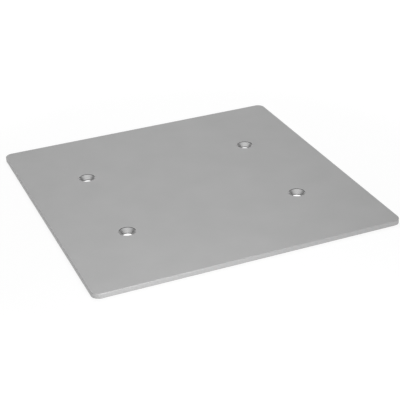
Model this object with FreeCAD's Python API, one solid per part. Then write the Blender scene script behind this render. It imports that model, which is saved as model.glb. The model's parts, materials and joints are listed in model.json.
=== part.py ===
import FreeCAD, Part
import math
import os

# Truss base plate: one flat square plate with four countersunk screw holes.
# Lengths are in millimetres and angles in degrees. The plate lies flat with +Z up
# and its countersunk face on top. The origin is the middle of the underside, and X
# runs along the longer spacing of the holes.

# Plate
PLATE_LENGTH = 600.0
PLATE_WIDTH = 600.0
PLATE_THICKNESS = 10.0
CORNER_RADIUS = 15.0
ARRIS_RADIUS = 1.0

# Hole pattern, on the chord centres of a 400 by 290 truss with 50 mm tubes
HOLE_SPACING_X = 350.0
HOLE_SPACING_Y = 240.0

# Screw seat, for a 16 mm countersunk screw whose head lies below the face
BORE_DIAMETER = 17.5
COUNTERSINK_DIAMETER = 32.0
COUNTERSINK_ANGLE = 90.0
LIP_DEPTH = 1.0
BORE_EDGE_BREAK = 0.5

# How far a cutting tool runs past the face that it opens
TOOL_RUN_OUT = 1.0

UP = FreeCAD.Vector(0, 0, 1)
FULL_TURN = 360.0
EIGHTH_TURN = math.radians(45.0)


def rounded_rectangle(length, width, radius):
    """The closed outline of a rectangle on z = 0, centred, with four round corners."""
    half_x = length / 2
    half_y = width / 2
    # each corner's arc centre, start point, middle point and end point, anticlockwise
    corners = []
    for sign_x, sign_y in ((1, 1), (-1, 1), (-1, -1), (1, -1)):
        centre = FreeCAD.Vector(sign_x * (half_x - radius), sign_y * (half_y - radius), 0)
        along_x = FreeCAD.Vector(sign_x * radius, 0, 0)
        along_y = FreeCAD.Vector(0, sign_y * radius, 0)
        diagonal = FreeCAD.Vector(
            sign_x * radius * math.cos(EIGHTH_TURN), sign_y * radius * math.sin(EIGHTH_TURN), 0
        )
        first, last = (along_x, along_y) if sign_x == sign_y else (along_y, along_x)
        corners.append((centre + first, centre + diagonal, centre + last))

    edges = []
    for index, (start, middle, end) in enumerate(corners):
        next_start = corners[(index + 1) % len(corners)][0]
        edges.append(Part.Arc(start, middle, end).toShape())
        edges.append(Part.LineSegment(end, next_start).toShape())
    return Part.Wire(edges)


def blank():
    """The sawn plate with its corners rounded and its long edges softened, with no holes."""
    outline = rounded_rectangle(PLATE_LENGTH, PLATE_WIDTH, CORNER_RADIUS)
    slab = Part.Face(outline).extrude(UP * PLATE_THICKNESS)
    rims = [edge for edge in slab.Edges if is_level(edge)]
    return slab.makeFillet(ARRIS_RADIUS, rims)


def is_level(edge):
    """Does this edge lie in one of the two flat faces, and not stand up between them?"""
    box = edge.BoundBox
    return box.ZLength < PLATE_THICKNESS / 2


def turned(profile):
    """The solid that a profile of (radius, height) points sweeps in one turn about Z."""
    points = [FreeCAD.Vector(radius, 0, height) for radius, height in profile]
    face = Part.Face(Part.makePolygon(points + points[:1]))
    return face.revolve(FreeCAD.Vector(0, 0, 0), UP, FULL_TURN)


def screw_seat_tool():
    """What the drill and the countersink take out from above: a lip, a cone and a bore."""
    bore = BORE_DIAMETER / 2
    mouth = COUNTERSINK_DIAMETER / 2
    cone_depth = (mouth - bore) / math.tan(math.radians(COUNTERSINK_ANGLE / 2))
    top = PLATE_THICKNESS + TOOL_RUN_OUT
    cone_top = PLATE_THICKNESS - LIP_DEPTH
    cone_end = cone_top - cone_depth
    bottom = min(0.0, cone_end) - TOOL_RUN_OUT
    return turned(
        [(0, bottom), (bore, bottom), (bore, cone_end), (mouth, cone_top), (mouth, top), (0, top)]
    )


def edge_break_tool():
    """What a deburring cone takes off the bore's edge on the underside."""
    inner = BORE_DIAMETER / 2
    outer = inner + BORE_EDGE_BREAK + TOOL_RUN_OUT
    return turned([(0, -TOOL_RUN_OUT), (outer, -TOOL_RUN_OUT), (inner, BORE_EDGE_BREAK), (0, BORE_EDGE_BREAK)])


def hole_centres():
    """The middle of each hole, at the corners of a rectangle about the plate's centre."""
    return [
        FreeCAD.Vector(sign_x * HOLE_SPACING_X / 2, sign_y * HOLE_SPACING_Y / 2, 0)
        for sign_y in (-1, 1)
        for sign_x in (-1, 1)
    ]


def base_plate():
    """The finished plate: the blank less a screw seat and an edge break at each hole."""
    tools = []
    for centre in hole_centres():
        for tool in (screw_seat_tool(), edge_break_tool()):
            tool.translate(centre)
            tools.append(tool)
    return blank().cut(tools)


def main():
    plate = base_plate()
    os.makedirs("parts", exist_ok=True)
    plate.exportStep("parts/base_plate.step")
    print("base_plate valid", plate.isValid(), "solids", len(plate.Solids))
    print("volume mm3", round(plate.Volume, 1), "box", plate.BoundBox)


main()
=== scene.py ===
"""Dresses the truss base plate for its picture: its surfaces, metal finishes, studio and camera."""

import json
import logging
import math
from dataclasses import dataclass
from enum import Enum
from typing import Any

import bmesh
import bpy
import numpy as np
from mathutils import Matrix, Vector

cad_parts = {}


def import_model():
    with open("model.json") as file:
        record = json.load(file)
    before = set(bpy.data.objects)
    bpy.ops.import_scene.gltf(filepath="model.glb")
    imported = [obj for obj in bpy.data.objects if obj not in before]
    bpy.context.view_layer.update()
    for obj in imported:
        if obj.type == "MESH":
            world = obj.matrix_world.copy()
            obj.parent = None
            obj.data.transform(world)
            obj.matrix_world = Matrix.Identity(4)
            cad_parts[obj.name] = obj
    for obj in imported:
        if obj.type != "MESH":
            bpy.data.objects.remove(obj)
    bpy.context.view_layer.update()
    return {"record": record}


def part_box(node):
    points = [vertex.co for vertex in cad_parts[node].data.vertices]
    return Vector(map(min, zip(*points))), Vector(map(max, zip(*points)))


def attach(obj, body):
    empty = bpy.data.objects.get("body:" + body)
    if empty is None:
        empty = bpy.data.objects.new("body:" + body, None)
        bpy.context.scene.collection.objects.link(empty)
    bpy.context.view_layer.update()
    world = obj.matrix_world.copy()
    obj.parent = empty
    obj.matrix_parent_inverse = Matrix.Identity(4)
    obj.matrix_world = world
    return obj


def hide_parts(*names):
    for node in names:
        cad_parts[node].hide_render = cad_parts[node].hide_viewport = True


LOG = logging.getLogger("base_plate")

Array = np.ndarray
Socket = bpy.types.NodeSocket
Colour = tuple[float, float, float, float]
Stops = tuple[tuple[float, float], ...]
Inputs = dict[str | int, Any]

MILLIMETRE = 0.001
CUBIC_CENTIMETRES = 1e6
FULL_TURN = 2 * math.pi
QUARTER_TURN = math.pi / 2

# points nearer than the first fall together, edges that turn more than the second stay sharp, and
# numbers below the third count as nothing
MERGE_DISTANCE = 0.002 * MILLIMETRE
SHARP_ANGLE = math.radians(32)
TINY = 1e-9
MARKS_MAP = "ToolMarks"

# sizes of the part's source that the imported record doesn't give
CORNER_RADIUS = 15 * MILLIMETRE
MOUTH_RADIUS = 16 * MILLIMETRE
LIP_DEPTH = 1 * MILLIMETRE

NODE = "base_plate"
BODY = "root"


class Finish(Enum):
    """The plate's finishes, numbered as its material slots."""

    FACE = 0
    EDGE = 1
    ARRIS = 2
    CONE = 3
    WALL = 4


class Face(Enum):
    """The plate's two flat faces, by the way that each one looks."""

    TOP = 1
    UNDERSIDE = -1


@dataclass(frozen=True)
class Patch:
    """A grid of surface points that share one finish.

    Attributes:
        points: rows by columns by 3, the surface's points in metres.
        marks: rows by columns by 2, how far each point lies along and across the tool marks, in metres.
        finish: the finish that the patch is given.
    """

    points: Array
    marks: Array
    finish: Finish

    def mirrored(self, sign_x: int, sign_y: int) -> "Patch":
        """The patch reflected into another quarter, its columns turned round so that it faces out.

        Args:
            sign_x: -1 to reflect it across the plane x = 0, otherwise 1.
            sign_y: -1 to reflect it across the plane y = 0, otherwise 1.

        Returns:
            The reflected patch.
        """
        points = self.points * np.array([sign_x, sign_y, 1.0])
        order = slice(None, None, sign_x * sign_y)
        return Patch(points[:, order], self.marks[:, order], self.finish)


def arc(centre: tuple[float, float], radius: float, start: float, end: float, steps: int) -> Array:
    """Points on an arc: the centre plus the radius times the cosine and sine of evenly spaced angles.

    Args:
        centre: the arc's centre.
        radius: its radius.
        start: the first point's angle, in radians.
        end: the last point's angle.
        steps: how many equal steps the arc is divided into.

    Returns:
        The points, steps + 1 by 2.
    """
    angles = np.linspace(start, end, steps + 1)
    return np.array(centre) + radius * np.stack([np.cos(angles), np.sin(angles)], axis=1)


def run_along(points: Array) -> Array:
    """How far each point lies along the line through all of them: the sum of the steps before it."""
    steps = np.linalg.norm(np.diff(points, axis=0), axis=1)
    return np.concatenate([[0.0], np.cumsum(steps)])


@dataclass(frozen=True)
class Outline:
    """One quarter of the plate seen from above, from the plate's middle to its rounded corner.

    Attributes:
        half_length: from the plate's middle to its edge along X.
        half_width: from the plate's middle to its edge along Y.
        corner_radius: the rounding of the corner.
        corner_steps: how many flats stand for the corner's quarter turn.
        clearance: how near a line of the even fan may come to another, as a share of its pitch.
    """

    half_length: float
    half_width: float
    corner_radius: float
    corner_steps: int = 14
    clearance: float = 0.25

    def corner_centre(self) -> Array:
        """The middle of the corner's rounding."""
        return np.array([self.half_length, self.half_width]) - self.corner_radius

    def corner_arc(self, inset: float) -> Array:
        """The points of the corner's rounding: a quarter circle about its middle.

        Args:
            inset: how far the quarter's outer edge is drawn in.

        Returns:
            The points, from the side that faces +X to the side that faces +Y.
        """
        middle = self.corner_centre()
        radius = self.corner_radius - inset
        return arc((middle[0], middle[1]), radius, 0.0, QUARTER_TURN, self.corner_steps)

    def sight_lines(self, hole: Array, inset: float, count: int) -> Array:
        """The directions of the lines ruled from the hole: an even fan, and one to each corner point.

        A line of the fan that comes too near to one of the others is left out.

        Args:
            hole: the hole's centre.
            inset: how far the quarter's outer edge is drawn in.
            count: how many directions the even fan has.

        Returns:
            The angles in rising order over one turn, with the first repeated a turn later at the end.
        """
        inner_corners = np.array(
            [[0.0, 0.0], [self.half_length - inset, 0.0], [0.0, self.half_width - inset]]
        )
        targets = np.concatenate([inner_corners, self.corner_arc(inset)]) - hole
        wanted = np.arctan2(targets[:, 1], targets[:, 0]) % FULL_TURN
        fan = np.arange(count) * FULL_TURN / count
        apart = np.abs((fan[:, None] - wanted[None, :] + math.pi) % FULL_TURN - math.pi)
        clear = apart.min(axis=1) > self.clearance * FULL_TURN / count
        angles = np.sort(np.concatenate([fan[clear], wanted]))
        return np.append(angles, angles[0] + FULL_TURN)

    def seen_from(self, hole: Array, angles: Array, inset: float) -> Array:
        """The points where sight lines from the hole leave the quarter.

        A line leaves at the nearer of the upright and the level border ahead of it. Where that point
        lies in the corner's square, the line is cut with the corner's circle instead: half its chord
        beyond the foot of the perpendicular from the circle's centre.

        Args:
            hole: the hole's centre.
            angles: the sight lines' directions, in radians.
            inset: how far the quarter's outer edge is drawn in.

        Returns:
            One point for each angle, a row of 2 numbers each.
        """
        along = np.stack([np.cos(angles), np.sin(angles)], axis=1)
        outer = np.array([self.half_length, self.half_width]) - inset
        ahead = np.where(along > 0, outer, 0.0) - hole
        slanted = np.abs(along) > TINY
        reach = (ahead / np.where(slanted, along, 1.0)).min(axis=1, initial=np.inf, where=slanted)
        to_centre = self.corner_centre() - hole
        foot = along @ to_centre
        left_over = (self.corner_radius - inset) ** 2 - (to_centre @ to_centre - foot**2)
        on_circle = foot + np.sqrt(np.maximum(left_over, 0.0))
        edge_points = hole + along * reach[:, None]
        in_corner = (edge_points > self.corner_centre() + TINY).all(axis=1)
        return np.where(in_corner[:, None], hole + along * on_circle[:, None], edge_points)

    def is_outer(self, points: Array, inset: float) -> Array:
        """Which points of the quarter's border lie on the plate's own edge and not on a middle line.

        Args:
            points: points on the quarter's border.
            inset: how far the quarter's outer edge is drawn in.

        Returns:
            True or false for each point.
        """
        outer = np.array([self.half_length, self.half_width]) - inset
        on_side = (points > outer - MERGE_DISTANCE).any(axis=1)
        in_corner = (points > self.corner_centre()).all(axis=1)
        return on_side | in_corner

    def outward(self, points: Array) -> Array:
        """The level directions in which the outer edge faces: away from the nearest point of the core.

        Args:
            points: points on the outer edge.

        Returns:
            One direction of length 1 for each point.
        """
        core = np.minimum(points, self.corner_centre())
        away = points - core
        return away / np.linalg.norm(away, axis=1, keepdims=True)


@dataclass(frozen=True)
class ScrewSeat:
    """The countersunk hole: a mouth with a short upright lip, a cone, a bore and a broken lower edge.

    Attributes:
        mouth_radius: the radius of the lip and of the cone's top.
        bore_radius: the radius of the clearance hole.
        lip_depth: how far the cone's top lies below the face.
        plate_thickness: the height of the countersunk face.
        edge_break: the size of the bevel on the bore's lower edge.
        mouth_round: the small rounding where the lip meets the face.
        throat_round: the small rounding where the cone meets the bore.
        cone_slope: the angle between the cone and the hole's axis.
        round_steps: how many flats stand for a small rounding.
        cone_steps: how many rows the cone has.
    """

    mouth_radius: float
    bore_radius: float
    lip_depth: float
    plate_thickness: float
    edge_break: float = 0.5 * MILLIMETRE
    mouth_round: float = 0.15 * MILLIMETRE
    throat_round: float = 0.3 * MILLIMETRE
    cone_slope: float = math.radians(45)
    round_steps: int = 4
    cone_steps: int = 10

    def top_radius(self) -> float:
        """The radius of the opening in the countersunk face."""
        return self.mouth_radius + self.mouth_round

    def foot_radius(self) -> float:
        """The radius of the opening in the underside."""
        return self.bore_radius + self.edge_break

    def lip(self) -> Array:
        """The lip's profile from the face down: a quarter round and an upright.

        Returns:
            The profile's points as radius and height.
        """
        top = self.plate_thickness
        middle = (self.top_radius(), top - self.mouth_round)
        rounding = arc(middle, self.mouth_round, QUARTER_TURN, math.pi, self.round_steps)
        foot = np.array([[self.mouth_radius, top - self.lip_depth]])
        return np.concatenate([rounding, foot])

    def cone(self) -> Array:
        """The cone's profile from the lip's foot to the bore: a slope, and a rounding tangent to both.

        The cone is as deep as the fall in radius divided by the tangent of its slope. The rounding's
        centre lies below the sharp corner by its radius times the tangent of half the slope.

        Returns:
            The profile's points as radius and height.
        """
        top = self.plate_thickness - self.lip_depth
        depth = (self.mouth_radius - self.bore_radius) / math.tan(self.cone_slope)
        throat = top - depth
        set_back = self.throat_round * math.tan(self.cone_slope / 2)
        middle = (self.bore_radius + self.throat_round, throat - set_back)
        rounding = arc(middle, self.throat_round, math.pi - self.cone_slope, math.pi, self.round_steps)
        start = np.array([self.mouth_radius, top])
        slope = start + np.linspace(0, 1, self.cone_steps + 1)[:, None] * (rounding[0] - start)
        return np.concatenate([slope[:-1], rounding])

    def bore(self) -> Array:
        """The bore's profile from the cone's rounding to the underside: an upright and a bevel."""
        upright = np.array([self.cone()[-1], [self.bore_radius, self.edge_break]])
        return np.concatenate([upright, [[self.foot_radius(), 0.0]]])

    def turned(self, profile: Array, hole: Array, angles: Array, finish: Finish) -> Patch:
        """A profile's surface of revolution: each radius carried round the hole's axis at its height.

        Args:
            profile: the profile's points as radius and height, from the countersunk face down.
            hole: the hole's centre.
            angles: the directions of the surface's columns, in radians.
            finish: the finish of the surface.

        Returns:
            The patch, with its marks measured round the hole and down the profile.
        """
        radius = profile[:, :1]
        x = hole[0] + radius * np.cos(angles)
        y = hole[1] + radius * np.sin(angles)
        z = np.broadcast_to(profile[:, 1:], x.shape)
        around = np.broadcast_to(angles * self.mouth_radius, x.shape)
        down = np.broadcast_to(run_along(profile)[:, None], x.shape)
        return Patch(np.stack([x, y, z], axis=2), np.stack([around, down], axis=2), finish)

    def patches(self, hole: Array, angles: Array) -> list[Patch]:
        """The seat's surfaces: lip, cone and bore, each turned round the hole's axis.

        Args:
            hole: the hole's centre.
            angles: the directions of the surfaces' columns, in radians.

        Returns:
            The three patches, from the top down.
        """
        return [
            self.turned(self.lip(), hole, angles, Finish.WALL),
            self.turned(self.cone(), hole, angles, Finish.CONE),
            self.turned(self.bore(), hole, angles, Finish.WALL),
        ]


@dataclass(frozen=True)
class BasePlate:
    """The whole plate as one closed surface: a quarter and its three reflections.

    Attributes:
        outline: the quarter's outline.
        seat: the screw seat.
        hole: the centre of the quarter's hole.
        thickness: the plate's thickness.
        arris: the rounding of the long edges.
        arris_steps: how many flats stand for an arris's quarter turn.
        wall_steps: how many rows the rim's upright wall has.
        fan: how many directions the even fan round a hole has.
        margin: how wide the narrow ring of faces is beside each opening and edge.
        rows_between: where the other rows lie, as shares of the way from the hole to the edge.
    """

    outline: Outline
    seat: ScrewSeat
    hole: Array
    thickness: float
    arris: float = 1.0 * MILLIMETRE
    arris_steps: int = 6
    wall_steps: int = 4
    fan: int = 144
    margin: float = 0.4 * MILLIMETRE
    rows_between: tuple[float, ...] = (0.1, 0.35, 0.7)

    @classmethod
    def from_frame(cls, record: dict[str, Any]) -> "BasePlate":
        """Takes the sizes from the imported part, so that the dressed plate can't drift from it.

        Args:
            record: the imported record, with the mounts' places and sizes.

        Returns:
            The plate, ready to be built.
        """
        low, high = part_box(NODE)
        mounts = {mount["name"]: mount for mount in record["mounts"]}
        pattern = mounts["truss_bolts"]["dims"]
        hole = np.array([pattern["spacing_x_mm"], pattern["spacing_y_mm"]]) * MILLIMETRE / 2
        thickness = high.z - low.z
        seat = ScrewSeat(
            mouth_radius=MOUTH_RADIUS,
            bore_radius=pattern["hole_r_mm"] * MILLIMETRE,
            lip_depth=LIP_DEPTH,
            plate_thickness=thickness,
        )
        outline = Outline(half_length=high.x, half_width=high.y, corner_radius=CORNER_RADIUS)
        return cls(outline=outline, seat=seat, hole=hole, thickness=thickness)

    def flat(self, face: Face, angles: Array) -> Patch:
        """A flat face: straight lines ruled from the hole's circle out to the quarter's edge.

        A point is the edge's point times one share plus the circle's point times the rest. The shares
        crowd at both ends, which leaves a narrow ring of faces beside the hole and beside the edge.

        Args:
            face: which of the two flat faces.
            angles: the directions of the lines, seen from the hole.

        Returns:
            The face's patch.
        """
        radius = self.seat.top_radius() if face is Face.TOP else self.seat.foot_radius()
        inner = self.hole + radius * np.stack([np.cos(angles), np.sin(angles)], axis=1)
        outer = self.outline.seen_from(self.hole, angles, self.arris)
        ring = self.margin / np.linalg.norm(outer - inner, axis=1)
        between = [np.full_like(ring, share) for share in self.rows_between]
        share = np.stack([np.zeros_like(ring), ring, *between, 1 - ring, np.ones_like(ring)])
        level = inner * (1 - share[..., None]) + outer * share[..., None]
        height = self.thickness if face is Face.TOP else 0.0
        points = np.concatenate([level, np.full(share.shape + (1,), height)], axis=2)
        patch = Patch(points, level, Finish.FACE)
        return patch if face is Face.TOP else Patch(points[:, ::-1], level[:, ::-1], Finish.FACE)

    def rim_profiles(self) -> list[tuple[Array, Finish]]:
        """The rim's section from the top face down, in three parts: upper arris, wall and lower arris.

        Returns:
            For each part, how far each point is drawn in and its height, and the part's finish.
        """
        radius = self.arris
        upper = arc((radius, self.thickness - radius), radius, QUARTER_TURN, math.pi, self.arris_steps)
        lower = arc((radius, radius), radius, math.pi, 3 * QUARTER_TURN, self.arris_steps)
        wall = np.linspace(upper[-1], lower[0], self.wall_steps + 1)
        return [(upper, Finish.ARRIS), (wall, Finish.EDGE), (lower, Finish.ARRIS)]

    def rim(self, angles: Array) -> list[Patch]:
        """The rim: its section carried along the outer edge and set out along the edge's normal.

        Args:
            angles: the directions of all the sight lines from the hole.

        Returns:
            The rim's patches from the top down, with their marks measured along the edge and down it.
        """
        edge = self.outline.seen_from(self.hole, angles[:-1], self.arris)
        stations = edge[self.outline.is_outer(edge, self.arris)]
        stations = stations[np.argsort(np.arctan2(stations[:, 1], stations[:, 0]))]
        normals = self.outline.outward(stations)
        patches = []
        for section, finish in self.rim_profiles():
            set_out = (self.arris - section[:, :1])[:, None, :]
            level = stations[None] + normals[None] * set_out
            height = np.broadcast_to(section[:, None, 1:], level.shape[:2] + (1,))
            along = np.broadcast_to(run_along(stations)[None, :, None], height.shape)
            down = np.broadcast_to(run_along(section)[:, None, None], height.shape)
            points = np.concatenate([level, height], axis=2)
            patches.append(Patch(points, np.concatenate([along, down], axis=2), finish))
        return patches

    def patches(self) -> list[Patch]:
        """Every patch of the plate: a quarter's faces, rim and seat, and their three reflections.

        Returns:
            The patches of all four quarters.
        """
        angles = self.outline.sight_lines(self.hole, self.arris, self.fan)
        quarter = [self.flat(Face.TOP, angles), self.flat(Face.UNDERSIDE, angles)]
        quarter += self.rim(angles) + self.seat.patches(self.hole, angles)
        return [patch.mirrored(x, y) for x in (1, -1) for y in (1, -1) for patch in quarter]

    def build(self) -> bpy.types.Object:
        """Makes the plate's mesh and object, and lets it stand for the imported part.

        Returns:
            The plate's object, with no materials yet.
        """
        mesh = woven_mesh("dressed_base_plate", self.patches())
        plate = bpy.data.objects.new("dressed_base_plate", mesh)
        bpy.context.scene.collection.objects.link(plate)
        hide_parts(NODE)
        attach(plate, BODY)
        return plate

    def dress(self, plate: bpy.types.Object) -> None:
        """Gives the plate its finishes, in the order of their slots.

        Args:
            plate: the plate's object.
        """
        finishes = {
            Finish.FACE: RolledFace(),
            Finish.EDGE: MilledEdge(),
            Finish.ARRIS: FiledArris(),
            Finish.CONE: TurnedCone(),
            Finish.WALL: PaintedShadeWall(),
        }
        for finish in Finish:
            plate.data.materials.append(finishes[finish].material())


def woven_mesh(name: str, patches: list[Patch]) -> bpy.types.Mesh:
    """One closed mesh from patches whose borders meet.

    Each patch's grid gives a four-sided face for every cell. Points that fall together are merged,
    which drops the cells that have shrunk to nothing, and the normals are then turned outwards.

    Args:
        name: the mesh's name.
        patches: the patches, in any order.

    Returns:
        The mesh, smooth except at sharp edges, with its marks as a UV map and its finishes as slots.
    """
    vertices: list[Array] = []
    corners: list[Array] = []
    marks: list[Array] = []
    finishes: list[Array] = []
    start = 0
    for patch in patches:
        rows, columns = patch.points.shape[:2]
        index = start + np.arange(rows * columns).reshape(rows, columns)
        cells = np.stack([index[:-1, :-1], index[1:, :-1], index[1:, 1:], index[:-1, 1:]], axis=2)
        cells = cells.reshape(-1, 4)
        vertices.append(patch.points.reshape(-1, 3))
        corners.append(cells)
        marks.append(patch.marks.reshape(-1, 2)[cells - start])
        finishes.append(np.full(len(cells), patch.finish.value))
        start += rows * columns

    mesh = bpy.data.meshes.new(name)
    faces = np.concatenate(corners)
    mesh.from_pydata(np.concatenate(vertices).tolist(), [], faces.tolist())
    mesh.polygons.foreach_set("material_index", np.concatenate(finishes).astype(np.int32))
    marks_map = mesh.uv_layers.new(name=MARKS_MAP)
    marks_map.data.foreach_set("uv", np.concatenate(marks).astype(np.float32).ravel())

    shell = bmesh.new()
    shell.from_mesh(mesh)
    bmesh.ops.remove_doubles(shell, verts=shell.verts, dist=MERGE_DISTANCE)
    bmesh.ops.recalc_face_normals(shell, faces=shell.faces)
    open_edges = sum(not edge.is_manifold for edge in shell.edges)
    volume = shell.calc_volume(signed=True) * CUBIC_CENTIMETRES
    shell.to_mesh(mesh)
    shell.free()
    mesh.shade_smooth()
    mesh.set_sharp_from_angle(angle=SHARP_ANGLE)
    LOG.info("%s: %d faces, %d open edges, %.1f cm3", name, len(mesh.polygons), open_edges, volume)
    return mesh


class Nodes:
    """A node tree, with a short way to add a node and join it up."""

    def __init__(self, owner: bpy.types.Material | bpy.types.World) -> None:
        """Takes over the owner's node tree and empties it.

        Args:
            owner: the material or the world that the nodes belong to.
        """
        owner.use_nodes = True
        self.tree = owner.node_tree
        self.tree.nodes.clear()

    def node(self, kind: str, inputs: Inputs | None = None, **settings: Any) -> bpy.types.Node:
        """Adds a node.

        Args:
            kind: the node's type, as Blender names it.
            inputs: for each input's name or number, a value to set or an output to join to it.
            settings: the node's own properties.

        Returns:
            The new node.
        """
        made = self.tree.nodes.new(kind)
        for name, value in settings.items():
            setattr(made, name, value)
        for key, value in (inputs or {}).items():
            if isinstance(value, Socket):
                self.tree.links.new(value, made.inputs[key])
            else:
                made.inputs[key].default_value = value
        return made

    def profile(self, value: Socket, stops: Stops) -> Socket:
        """A neutral colour that follows a number, with an even ease from each stop to the next.

        Args:
            value: the number, from 0 to 1.
            stops: the numbers at which the level is given, in rising order, each with its linear level.

        Returns:
            The colour.
        """
        made = self.node("ShaderNodeValToRGB", {"Fac": value})
        ramp = made.color_ramp
        ramp.interpolation = "EASE"
        while len(ramp.elements) < len(stops):
            ramp.elements.new(0.0)
        for element, (place, level) in zip(ramp.elements, stops):
            element.position = place
            element.color = grey(level)
        return made.outputs["Color"]


class Shader(Nodes):
    """A material's nodes, with a method for each thing that the finishes are made of."""

    # between these two levels lie most of a noise texture's values
    NOISE_LOW = 0.3
    NOISE_HIGH = 0.7

    def __init__(self, name: str) -> None:
        """Starts an empty material of that name."""
        self.material = bpy.data.materials.new(name)
        super().__init__(self.material)

    def place(self) -> Socket:
        """The surface point in the object's own metres."""
        return self.node("ShaderNodeTexCoord").outputs["Object"]

    def along_marks(self) -> Socket:
        """The surface point measured along and across the tool marks."""
        return self.node("ShaderNodeUVMap", uv_map=MARKS_MAP).outputs["UV"]

    def noise(self, vector: Socket, size: tuple[float, float, float], layers: float = 3.0) -> Socket:
        """Smooth noise.

        Args:
            vector: the point at which the noise is read.
            size: how long its features are along each axis, in the vector's unit.
            layers: how many finer and fainter layers lie over the first.

        Returns:
            The noise, which stays near a half.
        """
        scale = tuple(1 / length for length in size)
        fitted = self.node("ShaderNodeMapping", {"Vector": vector, "Scale": scale}).outputs["Vector"]
        inputs = {"Vector": fitted, "Scale": 1.0, "Detail": layers}
        return self.node("ShaderNodeTexNoise", inputs).outputs["Fac"]

    def blended(self, first: Socket, second: Socket, share: float) -> Socket:
        """The first number with that share of it given over to the second."""
        return self.node("ShaderNodeMix", {0: share, 2: first, 3: second}).outputs[0]

    def larger(self, first: Socket, second: Socket) -> Socket:
        """The larger of two numbers."""
        return self.node("ShaderNodeMath", {0: first, 1: second}, operation="MAXIMUM").outputs[0]

    def spread(self, noise: Socket, middle: float, stray: float) -> Socket:
        """Noise carried to a range of its own.

        Args:
            noise: the noise, most of which lies between the two levels above.
            middle: the middle of the range.
            stray: how far the range strays to either side of its middle.

        Returns:
            The carried noise.
        """
        inputs = {
            "Value": noise,
            "From Min": self.NOISE_LOW,
            "From Max": self.NOISE_HIGH,
            "To Min": middle - stray,
            "To Max": middle + stray,
        }
        return self.node("ShaderNodeMapRange", inputs).outputs["Result"]

    def greys(self, level: Socket) -> Socket:
        """The neutral colour of that linear level."""
        inputs = {"Red": level, "Green": level, "Blue": level}
        return self.node("ShaderNodeCombineColor", inputs).outputs["Color"]

    def tilted(self, height: Socket, depth: float) -> Socket:
        """The surface normal, tilted by a height that runs from 0 to 1 over that depth in metres."""
        inputs = {"Height": height, "Distance": depth, "Strength": 1.0}
        return self.node("ShaderNodeBump", inputs).outputs["Normal"]

    def output(self, surface: bpy.types.Node) -> bpy.types.Material:
        """Joins the last shader to the output and gives back the finished material."""
        self.node("ShaderNodeOutputMaterial", {"Surface": surface.outputs[0]})
        return self.material


def grey(level: float) -> Colour:
    """An opaque neutral grey of that linear level."""
    return (level, level, level, 1.0)


@dataclass(frozen=True)
class Metal:
    """What all the finishes share: a grey metal with tool marks, which tint, roughen and tilt it.

    Attributes:
        name: the material's name.
        level: the metal's grey, linear.
        variation: how far the grey strays to either side, as a share of the level.
        metallic: how much of the look is bare metal and not its dull skin.
        skin_shine: how strongly the dull skin reflects, where a half is usual.
        roughness: the mean roughness.
        unevenness: how far the roughness strays to either side.
        relief: how deep the tool marks are.
    """

    name: str
    level: float
    variation: float
    metallic: float
    skin_shine: float
    roughness: float
    unevenness: float
    relief: float

    def tool_marks(self, shader: Shader) -> tuple[Socket, Socket]:
        """Draws the tool marks.

        Args:
            shader: the material that they are drawn in.

        Returns:
            The noise that tints the metal, and the noise that roughens it and gives it relief.
        """
        raise NotImplementedError

    def material(self) -> bpy.types.Material:
        """The finish's material: the tint colours it, and the tooth roughens and tilts its surface.

        Returns:
            The material.
        """
        shader = Shader(self.name)
        tint, tooth = self.tool_marks(shader)
        inputs = {
            "Base Color": shader.greys(shader.spread(tint, self.level, self.level * self.variation)),
            "Metallic": self.metallic,
            "Specular IOR Level": self.skin_shine,
            "Roughness": shader.spread(tooth, self.roughness, self.unevenness),
            "Normal": shader.tilted(tooth, self.relief),
        }
        return shader.output(shader.node("ShaderNodeBsdfPrincipled", inputs))


@dataclass(frozen=True)
class RolledFace(Metal):
    """Matt rolled metal: a fine grain along X, a fine pitting and a slow cloudiness.

    Attributes:
        grain_length: how long a rolling mark is.
        grain_width: how wide a rolling mark is.
        pit_size: how wide a pit is.
        pit_share: how much of the tooth is pits and not grain.
        cloud_size: how wide a cloud is.
        cloud_share: how much of the tint is clouds and not tooth.
    """

    name: str = "rolled_face"
    level: float = 0.385
    variation: float = 0.06
    metallic: float = 0.35
    skin_shine: float = 0.5
    roughness: float = 0.55
    unevenness: float = 0.05
    relief: float = 0.004 * MILLIMETRE
    grain_length: float = 45 * MILLIMETRE
    grain_width: float = 0.5 * MILLIMETRE
    pit_size: float = 0.7 * MILLIMETRE
    pit_share: float = 0.5
    cloud_size: float = 70 * MILLIMETRE
    cloud_share: float = 0.4

    def tool_marks(self, shader: Shader) -> tuple[Socket, Socket]:
        """Grain and pits for the tooth, and the same with clouds for the tint.

        Args:
            shader: the material that they are drawn in.

        Returns:
            The tint and the tooth.
        """
        place = shader.place()
        grain = shader.noise(place, (self.grain_length, self.grain_width, self.grain_width))
        pits = shader.noise(place, (self.pit_size,) * 3)
        clouds = shader.noise(place, (self.cloud_size,) * 3)
        tooth = shader.blended(grain, pits, self.pit_share)
        return shader.blended(tooth, clouds, self.cloud_share), tooth


@dataclass(frozen=True)
class MarkedMetal(Metal):
    """Metal whose tool marks follow the piece's own directions, as its map of marks gives them.

    Attributes:
        mark_length: how far the noise of the marks stretches along the map's first direction.
        mark_width: how far it stretches along the second.
    """

    mark_length: float
    mark_width: float

    def tool_marks(self, shader: Shader) -> tuple[Socket, Socket]:
        """Noise stretched along the marks, for tint and tooth alike."""
        strokes = shader.noise(shader.along_marks(), (self.mark_length, self.mark_width, 1.0))
        return strokes, strokes


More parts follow.
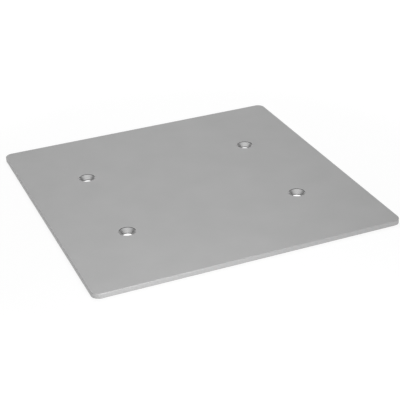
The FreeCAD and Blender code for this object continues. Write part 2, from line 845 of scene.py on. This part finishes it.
@dataclass(frozen=True)
class MilledEdge(MarkedMetal):
    """Matt milled metal on the rim's wall: upright cutter marks at an uneven pitch."""

    name: str = "milled_edge"
    level: float = 0.44
    variation: float = 0.06
    metallic: float = 0.35
    skin_shine: float = 0.5
    roughness: float = 0.5
    unevenness: float = 0.06
    relief: float = 0.006 * MILLIMETRE
    mark_length: float = 0.8 * MILLIMETRE
    mark_width: float = 12 * MILLIMETRE


@dataclass(frozen=True)
class FiledArris(MarkedMetal):
    """Matt filed metal on the rounded long edges: long fine strokes along the edge."""

    name: str = "filed_arris"
    level: float = 0.44
    variation: float = 0.06
    metallic: float = 0.4
    skin_shine: float = 0.5
    roughness: float = 0.48
    unevenness: float = 0.05
    relief: float = 0.004 * MILLIMETRE
    mark_length: float = 25 * MILLIMETRE
    mark_width: float = 0.2 * MILLIMETRE


@dataclass(frozen=True)
class PaintedShadeWall(MarkedMetal):
    """Painted shade on the lip and in the bore: near black, with feed lines round the wall."""

    name: str = "painted_shade_wall"
    # painted shade: a grey near black stands in for the shade and the dark reflections inside the hole
    level: float = 0.03
    variation: float = 0.2
    metallic: float = 0.0
    skin_shine: float = 0.2
    roughness: float = 0.6
    unevenness: float = 0.08
    relief: float = 0.01 * MILLIMETRE
    mark_length: float = 9 * MILLIMETRE
    mark_width: float = 0.18 * MILLIMETRE


@dataclass(frozen=True)
class TurnedCone(MarkedMetal):
    """Bare turned metal: fine rings left by the countersink, each so long that it runs right round."""

    name: str = "turned_cone"
    level: float = 0.8
    variation: float = 0.08
    metallic: float = 1.0
    skin_shine: float = 0.5
    roughness: float = 0.28
    unevenness: float = 0.05
    relief: float = 0.005 * MILLIMETRE
    mark_length: float = 10.0
    mark_width: float = 0.35 * MILLIMETRE


@dataclass(frozen=True)
class Lamp:
    """One square soft box that looks at a point.

    Attributes:
        name: the lamp's name.
        at: where it stands, in metres.
        towards: the point that it looks at.
        side: its width and height.
        power: its power in watts.
    """

    name: str
    at: tuple[float, float, float]
    towards: tuple[float, float, float]
    side: float
    power: float

    def hang(self) -> bpy.types.Object:
        """Puts the lamp in the scene, out of the camera's own sight.

        Returns:
            The lamp's object.
        """
        light = bpy.data.lights.new(self.name, "AREA")
        light.shape = "SQUARE"
        light.size = self.side
        light.energy = self.power
        lamp = bpy.data.objects.new(self.name, light)
        lamp.location = self.at
        look = Vector(self.towards) - Vector(self.at)
        lamp.rotation_euler = look.to_track_quat("-Z", "Y").to_euler()
        lamp.visible_camera = False
        bpy.context.scene.collection.objects.link(lamp)
        return lamp


@dataclass(frozen=True)
class Studio:
    """A pale floor under a soft dome of light, with soft boxes above.

    Attributes:
        lamps: the soft boxes.
        dome: the dome's level at each sine of the elevation, white at the horizon as a backdrop is.
        glow: how bright the floor is by itself, at each distance in metres from the plate's middle:
        white far away and a little less beside the plate, where its shadow falls; white under
        the holes as painted light, over the shade that the plate casts on the floor there.
        floor_radius: how far the floor reaches.
        floor_middle: how far its innermost ring of faces reaches.
        floor_sides: how many flats stand for its round edge.
        floor_level: the floor's grey, linear, as it lights the plate.
        shade_level: the grey that is added to the glow where light falls, so that open floor is white.
    """

    lamps: tuple[Lamp, ...]
    dome: Stops = ((0.18, 1.0), (0.3, 0.12), (0.35, 0.12), (1.0, 0.72))
    # painted light: the glow is white up to 0.25 m, under the holes, where the floor lies in the
    # plate's shade
    glow: Stops = ((0.25, 1.0), (0.3, 0.85), (0.45, 0.85), (1.0, 1.0))
    floor_radius: float = 30.0
    floor_middle: float = 1.0
    floor_sides: int = 64
    floor_level: float = 0.85
    shade_level: float = 0.165

    def floor_material(self) -> bpy.types.Material:
        """A pale floor that the eye, reflections and clear things see as white with a faint shadow.

        What they see is the glow, and a little grey that is added where light falls.

        Returns:
            The floor's material.
        """
        shader = Shader("studio_floor")
        pale = shader.node("ShaderNodeBsdfDiffuse", {"Color": grey(self.floor_level)})
        place = shader.place()
        away = shader.node("ShaderNodeVectorMath", {0: place}, operation="LENGTH").outputs["Value"]
        # painted light: white under the holes, over the shade that the plate casts on the floor there
        glow = shader.profile(away, self.glow)
        white = shader.node("ShaderNodeEmission", {"Color": glow, "Strength": 1.0})
        shade = shader.node("ShaderNodeBsdfDiffuse", {"Color": grey(self.shade_level)})
        shown = shader.node("ShaderNodeAddShader", {0: white.outputs[0], 1: shade.outputs[0]})
        path = shader.node("ShaderNodeLightPath")
        seen = shader.larger(path.outputs["Is Camera Ray"], path.outputs["Is Glossy Ray"])
        share = shader.larger(seen, path.outputs["Is Transmission Ray"])
        floor = shader.node("ShaderNodeMixShader", {0: share, 1: pale.outputs[0], 2: shown.outputs[0]})
        return shader.output(floor)

    def lay_floor(self) -> bpy.types.Object:
        """Lays the floor flat under the plate, as a round sheet.

        Returns:
            The floor's object.
        """
        rings = np.array([0.0, self.floor_middle, self.floor_radius])
        angles = np.linspace(0, FULL_TURN, self.floor_sides + 1)
        x = rings[:, None] * np.cos(angles)
        y = rings[:, None] * np.sin(angles)
        points = np.stack([x, y, np.zeros_like(x)], axis=2)
        mesh = woven_mesh("studio_floor", [Patch(points, points[..., :2], Finish.FACE)])
        mesh.materials.append(self.floor_material())
        floor = bpy.data.objects.new("studio_floor", mesh)
        bpy.context.scene.collection.objects.link(floor)
        return floor

    def raise_dome(self) -> None:
        """Lights the world by a soft dome, whose level depends on each direction's height alone."""
        world = bpy.data.worlds.new("studio_dome")
        bpy.context.scene.world = world
        sky = Nodes(world)
        direction = sky.node("ShaderNodeTexCoord").outputs["Generated"]
        height = sky.node("ShaderNodeSeparateXYZ", {0: direction}).outputs["Z"]
        inputs = {"Color": sky.profile(height, self.dome), "Strength": 1.0}
        background = sky.node("ShaderNodeBackground", inputs)
        sky.node("ShaderNodeOutputWorld", {"Surface": background.outputs[0]})

    def set_up(self) -> None:
        """Lays the floor, raises the dome and hangs the lamps, for colours shown as they are."""
        self.lay_floor()
        self.raise_dome()
        for lamp in self.lamps:
            lamp.hang()
            LOG.info("lamp %s: %.1f W", lamp.name, lamp.power)
        bpy.context.scene.view_settings.view_transform = "Standard"


@dataclass(frozen=True)
class ProductCamera:
    """The camera, placed by what it aims at and how it is held.

    Attributes:
        aim: the point in the middle of the picture, in metres.
        distance: from the camera to that point.
        heading: the level direction of its look, in degrees from +Y towards +X.
        look_down: how far it looks below the horizon, in degrees.
        roll: how far it leans about its own line of sight, in degrees, positive anticlockwise.
        focal_length: in millimetres.
        sensor_width: in millimetres.
    """

    aim: tuple[float, float, float] = (-0.00696, -0.06646, 0.010)
    distance: float = 2.14907
    heading: float = 22.115
    look_down: float = 28.156
    roll: float = -1.820
    focal_length: float = 100.29
    sensor_width: float = 36.0

    def axes(self) -> tuple[Vector, Vector, Vector]:
        """The camera's own directions, from its heading, look-down and roll.

        Returns:
            Its right, its up and its backward direction.
        """
        heading = math.radians(self.heading)
        down = math.radians(self.look_down)
        roll = math.radians(self.roll)
        forward = Vector(
            (math.sin(heading) * math.cos(down), math.cos(heading) * math.cos(down), -math.sin(down))
        )
        level_right = Vector((math.cos(heading), -math.sin(heading), 0.0))
        level_up = level_right.cross(forward)
        right = level_right * math.cos(roll) + level_up * math.sin(roll)
        up = level_up * math.cos(roll) - level_right * math.sin(roll)
        return right, up, -forward

    def set_up(self) -> bpy.types.Object:
        """Makes the camera and gives it to the scene.

        Returns:
            The camera's object.
        """
        right, up, back = self.axes()
        lens = bpy.data.cameras.new("product_camera")
        lens.sensor_width = self.sensor_width
        lens.lens = self.focal_length
        camera = bpy.data.objects.new("product_camera", lens)
        turned = Matrix((right, up, back)).transposed().to_4x4()
        camera.matrix_world = Matrix.Translation(Vector(self.aim) + back * self.distance) @ turned
        bpy.context.scene.collection.objects.link(camera)
        bpy.context.scene.camera = camera
        return camera


def soft_boxes() -> tuple[Lamp, ...]:
    """The soft boxes: a small low one that lights the front edge, and a large high one behind.

    Returns:
        The two lamps.
    """
    front_edge = (-0.2, -0.25, 0.0)
    middle = (0.0, 0.0, 0.0)
    return (
        Lamp(name="front_box", at=(-0.2, -0.9, 0.2), towards=front_edge, side=0.4, power=3.2),
        Lamp(name="high_back_box", at=(0.4, 1.4, 2.2), towards=middle, side=1.8, power=28.4),
    )


def main() -> None:
    """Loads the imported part, builds and dresses the plate, and sets up the studio and the camera."""
    logging.basicConfig(level=logging.INFO, format="%(name)s: %(message)s")
    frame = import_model()

    plate = BasePlate.from_frame(frame["record"])
    dressed = plate.build()
    plate.dress(dressed)
    LOG.info("%s: %d materials", dressed.name, len(dressed.data.materials))

    Studio(lamps=soft_boxes()).set_up()
    ProductCamera().set_up()


if __name__ == "__main__":
    main()
